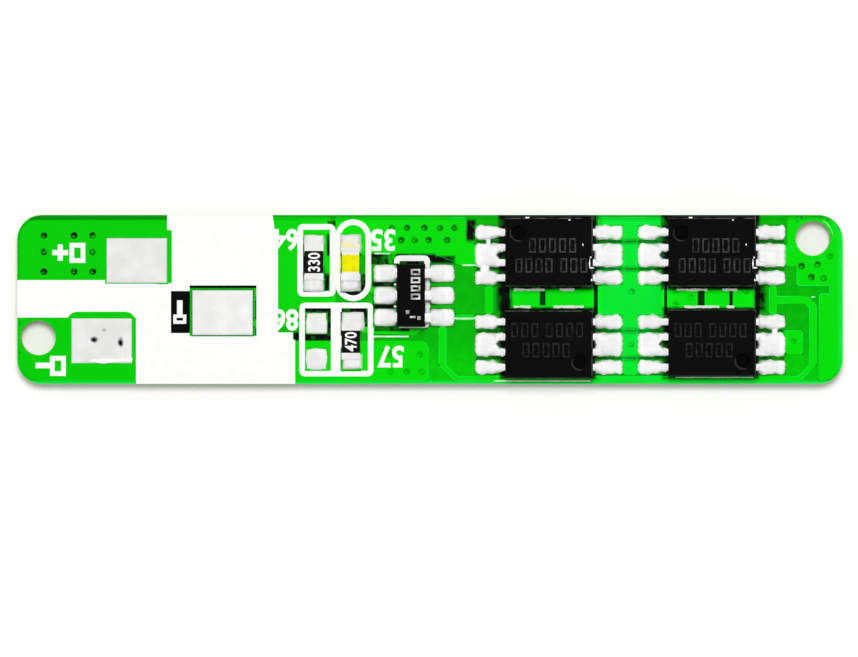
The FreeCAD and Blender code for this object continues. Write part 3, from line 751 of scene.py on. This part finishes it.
def coating(x, y, way, lead, reach, neck, land_edges, lead_edges, phase, roughness=0.026):
    """Solder of one lead: a lump on its land that narrows into a coat on the lead, up to the package.

    reach is the distance of its two ends from the package's middle, neck that of the places between which it
    narrows, and the edges are its two sides on the land and on the lead. At distance d the sides are mixed by
    S(d), S the smooth step over the neck, and drawn in as sqrt(1 - t^2) at the inner end and sqrt(1 - t^5) at
    the outer. The top is the higher of the lead's own top and a straight slope of solder; across, it falls as
    sqrt(1 - v^4).
    """
    inner, outer = reach
    inner_round, outer_round = 0.13, 0.3
    rows, cols = 21, 56
    v, share = np.meshgrid(np.linspace(-1, 1, rows), (spread(cols) + 1) / 2, indexing="ij")
    v = np.sin(v * pi / 2)
    away = inner + (outer - inner) * share
    on_land = smooth_step(away, neck[0], neck[1])
    lower = lead_edges[0] + (land_edges[0] - lead_edges[0]) * on_land
    upper = lead_edges[1] + (land_edges[1] - lead_edges[1]) * on_land
    inner_end = np.sqrt(1 - np.clip((inner + inner_round - away) / inner_round, 0, 1) ** 2)
    outer_end = np.sqrt(1 - np.clip((away - outer + outer_round) / outer_round, 0, 1) ** 5)
    side = np.sign(v)
    ragged = roughness * (np.sin(8 * away + phase + side) + 0.6 * np.sin(17 * away + 2.1 * phase + 2 * side))
    half = (upper - lower) / 2 * inner_end * (0.25 + 0.75 * outer_end) + ragged * side * inner_end
    py = (lower + upper) / 2 + v * half
    outward = away + 0.022 * np.sin(9 * v + phase) * smooth_step(away, outer - outer_round, outer)
    middle = lead_level(lead, away)
    share = np.clip((lead.tip - 0.05 - away) / (lead.tip - lead.shoulder), 0, 1)
    slope = lead.foot_z + (lead.exit_z - lead.foot_z) * share
    swell = 0.012 + 0.02 * on_land * (1 + np.sin(5 * away + 4 * v + phase))
    crest = np.maximum(middle, slope) + lead.thick / 2 + swell
    skirt = np.where(away > neck[0], copper_top, middle - lead.thick / 2)
    closing = np.sqrt((1 - v ** 4) * inner_end) * outer_end
    top = skirt + (crest - skirt) * closing
    points, faces = sheet_pair(x + way * outward, y + py, top, np.minimum(skirt, top))
    return points, faces if way > 0 else faces[:, ::-1]


def bent_leads(name, x, y, count, pitch, lead, material):
    """Gull-wing leads: a rectangle, rounded as |cos|^k and |sin|^k with k blunt, carried along lead_level."""
    steps, around = 48, 25
    along, turn = np.linspace(lead.root, lead.tip, steps), np.linspace(0, 2 * pi, around)
    along, turn = np.meshgrid(along, turn, indexing="ij")
    middle = lead_level(lead, along)
    blunt = 0.45
    side = np.sign(np.cos(turn)) * np.abs(np.cos(turn)) ** blunt
    rise = np.sign(np.sin(turn)) * np.abs(np.sin(turn)) ** blunt
    slope = np.gradient(middle, axis=0) / np.gradient(along, axis=0)
    lean = 1 / np.sqrt(1 + slope ** 2)
    ends = np.where((along == lead.root) | (along == lead.tip), 0.0, 1.0)
    out = along - rise * lead.thick / 2 * slope * lean
    across = side * lead.width / 2 * ends
    height = middle + rise * lead.thick / 2 * lean * ends
    parts = []
    for way in (-1, 1):
        for row in range(count):
            lead_y = y + (row - (count - 1) / 2) * pitch
            points = grid_points(x + way * out, lead_y + across, height)
            parts.append((points, quads(steps, around, 0, way < 0)))
    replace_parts(build(name + "_prongs", merged(parts), material), name + "_leads")


def fet_joints(material, lead):
    """Solder of the eight-lead packages. On the left the coats are narrow; on the right they run on wider."""
    # Inner end, neck, and half the width on the lead
    narrow = (1.88, (2.05, 2.45), 0.17)
    middling = (1.92, (1.85, 2.15), 0.22)
    wide = (1.92, (1.7, 1.95), 0.3)
    # Lumps between the leads: place from the package's middle, half sizes, height and phase
    loose = {
        "transistor_1": [(-2.6, 0.62, 0.1, 0.2, 0.17, 0.3), (-2.75, -0.6, 0.2, 0.2, 0.19, 1.9)],
        "transistor_4": [(2.71, 0.6, 0.13, 0.18, 0.17, 0.7)],
    }
    outer_row = fet_pitch * 1.5
    past_middle = 0.22
    for name, (x, y, turned) in fets.items():
        parts = []
        for way, (inner, neck, prong) in ((-1, narrow), (1, middling if turned else wide)):
            reach = (inner, fet_land_end)
            for number, row in enumerate((-outer_row, -fet_pitch / 2, fet_pitch / 2, outer_row)):
                land_edges = (row - fet_outer_half, row + fet_outer_half)
                if abs(row) < fet_pitch:
                    land_edges = (-fet_middle_half, past_middle)
                    if row > 0:
                        land_edges = (-past_middle, fet_middle_half)
                lead_edges = (row - prong, row + prong)
                phase = 1.3 * number + 2 * way + x + y
                parts.append(coating(x, y, way, lead, reach, neck, land_edges, lead_edges, phase))
        for dx, dy, half_x, half_y, height, phase in loose.get(name, ()):
            parts.append(pillow(x + dx, y + dy, half_x, half_y, copper_top - 0.005, height, phase))
        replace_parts(build(name + "_joints", merged(parts), material), name + "_solder")


def controller_joints(material, lead):
    """Solder of the controller: blocks nearly as wide at the package as on the land."""
    x = controller_x - controller_shift
    lead_half = 0.31
    neck = (0.68, 0.9)
    parts = []
    for way in (-1, 1):
        reach = (0.62 if way < 0 else 0.7, controller_land_end + way * controller_shift)
        for row in (-1, 0, 1):
            centre = row * controller_pitch
            land_edges = (centre - controller_land_half, centre + controller_land_half)
            lead_edges = (centre - lead_half, centre + lead_half)
            shape = (x, controller_y, way, lead, reach, neck, land_edges, lead_edges)
            parts.append(coating(*shape, row + 2.2 * way, 0.008))
    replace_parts(build("controller_joints", merged(parts), material), "controller_solder")


def chip_joints(material):
    """Solder of the chips: a lump on each end, a little wider than the chip."""
    lumps = {
        "upper_resistor": [(-5.42, 2.0, -4.55, 2.78), (-5.44, 0.33, -4.57, 1.12)],
        "lower_resistor": [(-3.8, -1.36, -2.82, -0.54), (-3.76, -3.0, -2.9, -2.34)],
        "capacitor": [(-3.86, 1.98, -2.95, 2.8), (-3.86, 0.34, -2.97, 1.12)],
    }
    for name, places in lumps.items():
        parts = []
        base = copper_top - 0.02
        height = 0.93 * (extent(name + "_caps")[1][2] - base)
        for number, (left, lower, right, upper) in enumerate(places):
            middle = ((left + right) / 2, (lower + upper) / 2)
            half = ((right - left) / 2, (upper - lower) / 2)
            parts.append(pillow(*middle, *half, base, height, 2.1 * number + left, 0.03, 0.12, 0.3))
        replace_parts(build(name + "_joints", merged(parts), material), name + "_solder")


def spare_pads(material):
    """The two lands without a resistor, tinned, with rounded corners."""
    low, high = extent("spare_resistor_pads")
    x, half_x = (low[0] + high[0]) / 2, (high[0] - low[0]) / 2 + 0.02
    parts = []
    for y, phase in ((low[1] + half_x, 0.8), (high[1] - half_x, 2.9)):
        parts.append(pillow(x, y, half_x, half_x, copper_top, 0.07, phase, 0.03, 0.3))
    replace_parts(build("spare_resistor_tinned", merged(parts), material), "spare_resistor_pads")


def wire_pad(name, material, phase, pits=()):
    """Tinned pad as a closed height field: broad waves, a fine ripple, a rolled rim, and dark pits.

    Each pit is its place, its two radii and its depth, and lowers the tin by depth * exp(-d^4).
    """
    low, high = extent(name)
    x = np.linspace(low[0], high[0], 150)
    y = np.linspace(low[1], high[1], 112)
    y, x = np.meshgrid(y, x, indexing="ij")
    u = 2 * (x - low[0]) / (high[0] - low[0]) - 1
    v = 2 * (y - low[1]) / (high[1] - low[1]) - 1
    tin_height = 0.075
    wave = 0.3 * np.sin(2.1 * u + phase) * np.cos(1.7 * v + 2 * phase) + 0.15 * np.sin(5 * u + 3 * v + phase)
    wave += 0.08 * np.sin(11 * u - 7 * v) * np.sin(9 * v + phase)
    edge = np.clip((1 - u ** 24) * (1 - v ** 18), 0, 1) ** 0.5
    height = tin_height * edge * (1 + 0.35 * wave)
    stain = np.zeros_like(height)
    for px, py, rx, ry, depth in pits:
        away = ((x - px) / rx) ** 2 + ((y - py) / ry) ** 2 + 0.25 * np.sin(9 * (x - px) + 14 * (y - py))
        hollow = np.exp(-np.clip(away, 0, 9) ** 2)
        height -= depth * hollow * tin_height
        stain = np.maximum(stain, depth * hollow)
    form = sheet_pair(x, y, copper_top + np.maximum(height, 0), np.full_like(x, copper_top))
    piece = build(name + "_tinned", form, material)
    set_attribute(piece, "stain", np.concatenate([stain.ravel(), 0 * stain.ravel()]))
    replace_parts(piece, name)


def rim(count):
    """Unit square's border, once round from one corner, with count steps on each side."""
    step = np.linspace(-1, 1, count)[:-1]
    one = np.ones_like(step)
    x = np.concatenate([step, one, -step, -one])
    y = np.concatenate([-one, step, one, -step])
    return x, y


def moulding(name, material, draft, dimple=None, trim=0.0, sink=0.0):
    """Package body, lofted round its border through levels with softened edges, with a pressed pin mark.

    Every level is the border drawn in by an inset. The top is a grid whose height drops by depth * (1 - S),
    S the smooth step over the pin mark's rim. trim takes a little off the side nearest the board's lower
    edge, and sink off the top.
    """
    low, high = extent(name)
    low[1] += trim
    high[2] -= sink
    middle = (low + high) / 2
    half = (high - low) / 2
    soft = 0.045
    fine = 120
    levels = [(draft, low[2]), (0.01, middle[2] - 0.02), (0.0, middle[2]), (0.01, middle[2] + 0.02)]
    for turn in np.linspace(0, pi / 2, 5):
        levels.append((draft + soft * (1 - cos(turn)), high[2] - soft * (1 - sin(turn))))
    ring_x, ring_y = rim(33)
    rings = []
    for inset, z in levels:
        x, y = middle[0] + (half[0] - inset) * ring_x, middle[1] + (half[1] - inset) * ring_y
        rings.append(np.stack([x, y, np.full_like(x, z)], -1))
    points = np.concatenate(rings)
    around = len(ring_x)
    index = np.arange(len(points)).reshape(len(levels), around)
    following = np.roll(index, -1, axis=1)
    walls = np.stack([index[:-1], following[:-1], following[1:], index[1:]], -1).reshape(-1, 4)
    inset = levels[-1][0]
    grid = np.linspace(-1, 1, fine)
    v, u = np.meshgrid(grid, grid, indexing="ij")
    x, y = middle[0] + (half[0] - inset) * u, middle[1] + (half[1] - inset) * v
    top = np.full_like(x, high[2])
    mark = np.zeros_like(x)
    if dimple:
        mark_x, mark_y, radius, depth = dimple
        dx, dy = x - middle[0] - mark_x, y - middle[1] - mark_y
        away = np.hypot(dx, dy) / radius
        hollow = 1 - smooth_step(away, 0.78, 1.08)
        top -= depth * hollow
        # Painted highlight: the lower-left side of the pin mark's rim, carried in the mark attribute
        lit = np.exp(-((away - 1.15) / 0.13) ** 2) * np.clip(-(dx + dy) / radius - 0.2, 0, 1)
        mark = lit - hollow
    lid = grid_points(x, y, top)
    base = np.array([[-1, -1, 0], [1, -1, 0], [1, 1, 0], [-1, 1, 0]]) * (half - draft)
    base += [middle[0], middle[1], low[2]]
    form = merged([(points, walls), (lid, quads(fine, fine, 0, True)), (base, np.array([[3, 2, 1, 0]]))])
    piece = build(name + "_moulding", form, material, form[0][:, :2] - middle[:2])
    set_attribute(piece, "mark", np.concatenate([np.zeros(len(points)), mark.ravel(), np.zeros(len(base))]))
    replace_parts(piece, name)


def via_dimples(material):
    """Each via's tent of mask: a low ring round a shallow middle, height 0.006 * sin^2 over the radius.

    Its flat underside and its border lie just inside the mask.
    """
    turn = np.linspace(0, 2 * pi, 25)
    turn, radius = np.meshgrid(turn, np.linspace(0, via_radius, 9), indexing="ij")
    u = radius * np.cos(turn)
    v = radius * np.sin(turn)
    height = 0.003 + 0.006 * np.sin(pi * radius / via_radius) ** 2
    base = np.full_like(height, -sunk)
    height[:, -1] = base[:, -1]
    form = merged([sheet_pair(x + u, y + v, mask_top + height, mask_top + base) for x, y in vias])
    local = np.tile(np.stack([u, v], -1).reshape(-1, 2), (2 * len(vias), 1))
    build("via_dimples", form, material, local)


def prisms(corners, low, high):
    """Flat four-sided pieces between two levels, each from four corners given counter-clockwise."""
    count = len(corners)
    points = [np.concatenate([corners, np.full((count, 4, 1), level)], -1) for level in (low, high)]
    faces = np.array([[0, 3, 2, 1], [4, 5, 6, 7], [0, 1, 5, 4], [1, 2, 6, 5], [2, 3, 7, 6], [3, 0, 4, 7]])
    faces = faces + 8 * np.arange(count)[:, None, None]
    return np.concatenate(points, 1).reshape(-1, 3), faces.reshape(-1, 4)


def build_bars(name, rectangles, low, high, material):
    """Piece of flat bars between two levels."""
    left, lower, right, upper = np.array(rectangles).T
    corners = np.stack([left, lower, right, lower, right, upper, left, upper], -1)
    build(name, prisms(corners.reshape(-1, 4, 2), low, high), material, smooth=False)


def hollow_box(x, y, length, width, stroke):
    """Outline of a small rectangle, as four bars."""
    left, right, lower, upper = x - length / 2, x + length / 2, y - width / 2, y + width / 2
    return [
        (left, lower, left + stroke, upper),
        (right - stroke, lower, right, upper),
        (left + stroke, lower, right - stroke, lower + stroke),
        (left + stroke, upper - stroke, right - stroke, upper),
    ]


def laser_rows(material, faint):
    """Two rows of small etched boxes on each eight-lead package."""
    for name, (_, _, turned) in fets.items():
        low, high = extent(name + "_body")
        middle = (low + high) / 2
        way = -1 if turned else 1
        bars = []
        for row_y, first, count in ((0.24, -0.72, 5), (-0.62, -1.3, 4), (-0.62, 0.62, 3)):
            for step in range(count):
                mark_x = middle[0] + way * (first + 0.43 * step)
                bars += hollow_box(mark_x, middle[1] + way * row_y, 0.3, 0.62, 0.07)
        look = faint if turned else material
        build_bars(name + "_etching", bars, high[2] - sunk, high[2] + 0.002, look)


def controller_marks(material, level):
    """A column of small boxes, two dots and a bar on the controller."""
    bars = []
    for step in range(4):
        bars += hollow_box(-0.62, 1.17 - 0.35 * step, 0.4, 0.26, 0.075)
    bars += [(-1.03, -0.62, -0.88, -0.47), (-0.54, -0.87, -0.4, -0.73), (-0.86, -0.8, -0.62, -0.72)]
    build_bars("controller_marks", bars, level - sunk, level + 0.003, material)


def lettered(name, text, x, y, height, turn, level, thickness, weight, material, slot, stretch=1.0):
    """Plain numerals, centred on a place, as a flat mesh of some thickness. weight thickens the strokes."""
    curve = bpy.data.curves.new(name, "FONT")
    curve.body = text
    curve.offset = weight
    curve.extrude = 0.5
    curve.resolution_u = 3
    source = bpy.data.objects.new(name, curve)
    mesh = bpy.data.meshes.new_from_object(source)
    bpy.data.objects.remove(source)
    points = mesh_points(mesh)
    low, high = points.min(0), points.max(0)
    scale = height / (high[1] - low[1])
    flat = (points[:, :2] - (low[:2] + high[:2]) / 2) * scale * [stretch, 1]
    along, across = cos(turn), sin(turn)
    points[:, 0] = x + flat[:, 0] * along - flat[:, 1] * across
    points[:, 1] = y + flat[:, 0] * across + flat[:, 1] * along
    points[:, 2] = level + thickness * (points[:, 2] - low[2]) / (high[2] - low[2])
    mesh.vertices.foreach_set("co", (points * MM).ravel())
    mesh.update()
    add_piece(name, mesh, material)


def printed_marks(material):
    """Polarity signs with a ring each, a stem and bulb by the sense pad, and numbers beside the parts."""
    ink = print_top - mask_top
    level = mask_top - sunk
    plus = [(-16.24, 1.9, -15.56, 2.12), (-16.01, 2.12, -15.79, 2.36), (-16.01, 1.66, -15.79, 1.9)]
    minus = [(-16.96, -2.96, -16.34, -2.72)]
    print_edges = [(-15.1, 0.58, -11.75, 0.67), (-6.62, -1.78, -5.9, -1.42)]
    bars = plus + minus + print_edges
    for ring_x, ring_y in ((-15.16, 2.0), (-16.0, -2.86)):
        bars += hollow_box(ring_x, ring_y, 0.68, 0.86, 0.2)
    build_bars("polarity_signs", bars, level, level + ink, material)
    bars = [(-10.88, -0.65, -10.64, -0.04)] + hollow_box(-10.76, -0.85, 0.56, 0.4, 0.14)
    build_bars("sense_mark", bars, bare_top - sunk, bare_top + ink, material)
    labels = [("64", -6.21, 2.56), ("35", -2.02, 2.55), ("86", -6.2, -0.89), ("57", -1.7, -2.45)]
    for text, x, y in labels:
        lettered("number_" + text, text, x, y, 0.95, pi, level, ink, 0.03, material, "white_print", 0.9)


def resistor_numbers(material):
    """Plain values across the two black coats."""
    for name, text in (("upper_resistor", "330"), ("lower_resistor", "470")):
        low, high = extent(name + "_coat")
        middle = (low + high) / 2
        place = (name + "_number", text, middle[0], middle[1], 0.52, pi / 2, high[2] - sunk, 0.006)
        lettered(*place, 0.02, material, "resistor_coat", 0.8)


def flakes(material):
    """Small specks of solder and a curled flake on two packages."""
    top = extent("transistor_1_body")[1][2]
    # Place from the package's middle, and half sizes
    specks = [
        (-0.94, 1.6, 0.09, 0.035),
        (0.87, 1.5, 0.045, 0.03),
        (1.44, 0.44, 0.028, 0.055),
        (1.735, -0.36, 0.032, 0.19),
        (1.82, -0.55, 0.1, 0.035),
        (1.78, -0.1, 0.03, 0.05),
        (1.82, -1.07, 0.035, 0.05),
    ]
    parts = []
    for name in ("transistor_1", "transistor_2"):
        x, y, _ = fets[name]
        for dx, dy, half_x, half_y in specks:
            parts.append(pillow(x + dx, y + dy, half_x, half_y, top - 0.02, 0.026, 5 * dx, 0.25, 0.6))
    build("solder_specks", merged(parts), material)


def glints(material):
    """Painted highlights: pale lines along the edges of some tracks."""
    bars = [
        (-2.43, -1.63, -0.92, -1.56),
        (1.04, -0.85, 1.95, -0.79),
        (1.4, 1.44, 2.0, 1.5),
        (-2.38, 1.94, -1.72, 2.0),
        (16.4, 0.08, 16.56, 0.13),
        (2.75, -3.53, 6.9, -3.48),
        (10.55, -3.38, 13.9, -3.33),
    ]
    build_bars("pale_highlight_edges", bars, mask_top - 0.01, mask_top + 0.003, material)


def pad_bead(material):
    """Bead of solder along the lower edge of the negative pad."""
    level = copper_top + 0.02
    long_part = pillow(-13.85, -2.64, 0.74, 0.1, level, 0.09, 1.2, 0.2, 0.5)
    short_part = pillow(-12.95, -2.6, 0.16, 0.1, level, 0.08, 0.4)
    build("pad_bead", merged([long_part, short_part]), material)


def crescent(material):
    """Painted highlight: a pale arc on the mask beside the right hole; its width falls to its ends as sin(pi
    t).
    """
    share, side = np.meshgrid(np.linspace(0, 1, 25), np.linspace(-1, 1, 3), indexing="ij")
    turn = radians(66) - radians(60) * share
    radius = 0.87 + 0.022 * side * np.sin(pi * share)
    x = 16.47 + radius * np.cos(turn)
    y = 2.63 + radius * np.sin(turn)
    low = np.full_like(x, bare_top - 0.003)
    top = np.where(np.abs(side) < 1, bare_top + 0.003, low)
    points, faces = sheet_pair(x, y, top, low)
    build("hole_crescent", (points, faces[:, ::-1]), material)


def step_lines(material):
    """Thin mask with a painted highlight along the edges of the copper below: a strip just inside each edge
    of the mask's raised top.

    The edges are those that only one triangle of the top uses; each strip lies on the triangle's side.
    Corners are matched as whole numbers of 1/grain of a millimetre.
    """
    width = 0.045
    grain = 1e4
    source = nodes["solder_mask_front"].data
    points = mesh_points(source) / MM
    source.calc_loop_triangles()
    triangles = np.empty(3 * len(source.loop_triangles), dtype=np.int32)
    source.loop_triangles.foreach_get("vertices", triangles)
    triangles = triangles.reshape(-1, 3)
    on_top = (np.abs(points[triangles][:, :, 2] - mask_top) < 1e-4).all(1)
    corners = points[triangles[on_top]]
    keys = np.round(corners[:, :, :2] * grain).astype(np.int64)
    turned = np.cross(corners[:, 1, :2] - corners[:, 0, :2], corners[:, 2, :2] - corners[:, 0, :2]) < 0
    keys[turned] = keys[turned][:, ::-1]
    places, number = np.unique(keys.reshape(-1, 2), axis=0, return_inverse=True)
    start = number.reshape(-1, 3)
    end = np.roll(start, -1, axis=1).ravel()
    start = start.ravel()
    lone = ~np.isin(end * len(places) + start, start * len(places) + end)
    edges = np.stack([places[start[lone]], places[end[lone]]], 1) / grain
    edges = edges[np.linalg.norm(edges[:, 1] - edges[:, 0], axis=1) > 1e-3]
    a, b = edges[:, 0], edges[:, 1]
    run = b - a
    inward = np.stack([-run[:, 1], run[:, 0]], -1) / np.hypot(run[:, 0], run[:, 1])[:, None] * width
    strips = prisms(np.stack([a, b, b + inward, a + inward], 1), mask_top - sunk, mask_top + 0.0015)
    build("mask_step_lines", strips, material, smooth=False)


aim_camera()
set_world()
lay_floor()
bpy.context.scene.view_settings.view_transform = "Standard"
area_light("soft_key", (0.0, 0.075, 0.3), 0.1, 0.58)

mask_nodes = mask_group()
green = green_mask(mask_nodes)
white = white_print(mask_nodes)
solder = tin("solder", (0.95, 0.94, 0.945), (0.88, 0.87, 0.875), 0.45)
yellow_stripe = ((-3.8, 2.24, -3.0, 2.42), (0.85, 0.76, 0.3))
chip_solder = tin("chip_solder", (0.84, 0.84, 0.825), (0.75, 0.75, 0.735), 0.5, stripe=yellow_stripe)
lead_metal = tin("lead_metal", (0.88, 0.875, 0.88), (0.76, 0.755, 0.76), 0.4, 0.1)
black = black_moulding()
coat = speckled("resistor_coat", (0.003, 0.003, 0.003), (0.001, 0.001, 0.001), 8.0, 0.4, 0.03)
ceramic = speckled("white_ceramic", (0.88, 0.88, 0.85), (0.8, 0.8, 0.76), 8.0, 0.6, 0.3)
yellow = speckled("yellow_ceramic", (0.84, 0.79, 0.0), (0.74, 0.67, 0.0), 3.0, 0.5, 0.02, (1.175, 1.92))
glass_fibre = woven_laminate()
copper = bare_copper()


def dress(material, *names):
    for name in names:
        mesh = nodes[name].data
        mesh.materials.clear()
        mesh.materials.append(material)


dress(green, "solder_mask_front", "solder_mask_back")
dress(white, "silkscreen_front")
dress(glass_fibre, "laminate")
dress(copper, "copper_front", "copper_back", "via_barrels")
dress(solder, "output_pad_plus", "output_pad_minus", "sense_pad", "cell_pad_plus", "cell_pad_minus")
dress(solder, "spare_resistor_pads")
for package in (*fets, "controller"):
    dress(black, package + "_body")
    dress(lead_metal, package + "_leads")
    dress(solder, package + "_solder")
for chip in ("upper_resistor", "lower_resistor", "capacitor"):
    dress(chip_solder, chip + "_solder", chip + "_caps")
for chip in ("upper_resistor", "lower_resistor"):
    dress(ceramic, chip + "_ceramic")
    dress(coat, chip + "_coat")
dress(yellow, "capacitor_ceramic")

fet_lead = lead_shape("transistor_1_leads", (1.7, 2.24, 2.58, 3.0), 0.3, 0.13)
controller_lead = lead_shape("controller_leads", (0.45, 0.83, 1.05, 1.45), 0.42, 0.14)
fet_joints(solder, fet_lead)
controller_joints(solder, controller_lead)
chip_joints(chip_solder)
spare_pads(chip_solder)
for name, (x, y, _) in fets.items():
    bent_leads(name, x, y, 4, fet_pitch, fet_lead, lead_metal)
controller_place = (controller_x - controller_shift, controller_y)
bent_leads("controller", *controller_place, 3, controller_pitch, controller_lead, lead_metal)
for name, (_, _, turned) in fets.items():
    way = -1 if turned else 1
    moulding(name + "_body", black, 0.05, (-1.32 * way, 0.78 * way, 0.3, 0.06), lower_trims.get(name, 0.0))
moulding("controller_body", black, 0.06, sink=0.006)
pad_tin = pitted_tin("pitted_tin", 0.76)
wire_pad("output_pad_plus", pad_tin, 0.4)
minus_pits = [
    (-14.43, -1.72, 0.15, 0.12, 1.0),
    (-13.3, -1.83, 0.11, 0.19, 1.0),
    (-14.01, -1.31, 0.08, 0.07, 0.45),
]
wire_pad("output_pad_minus", pad_tin, 1.1, minus_pits)
wire_pad("sense_pad", pitted_tin("sense_tin", 0.82), 2.3)
via_dimples(via_mask(mask_nodes))
step_lines(thin_mask_highlight(mask_nodes))
laser_rows(etched("etching", 0.05), etched("faint_etching", 0.022))
controller_marks(etched("pale_etching", 0.7), extent("controller_body")[1][2] - 0.006)
printed_marks(white)
resistor_numbers(white)
flakes(solder)
# Painted highlights on the mask
pale_highlight = pale_highlight_mask()
glints(pale_highlight)
crescent(pale_highlight)
pad_bead(solder)
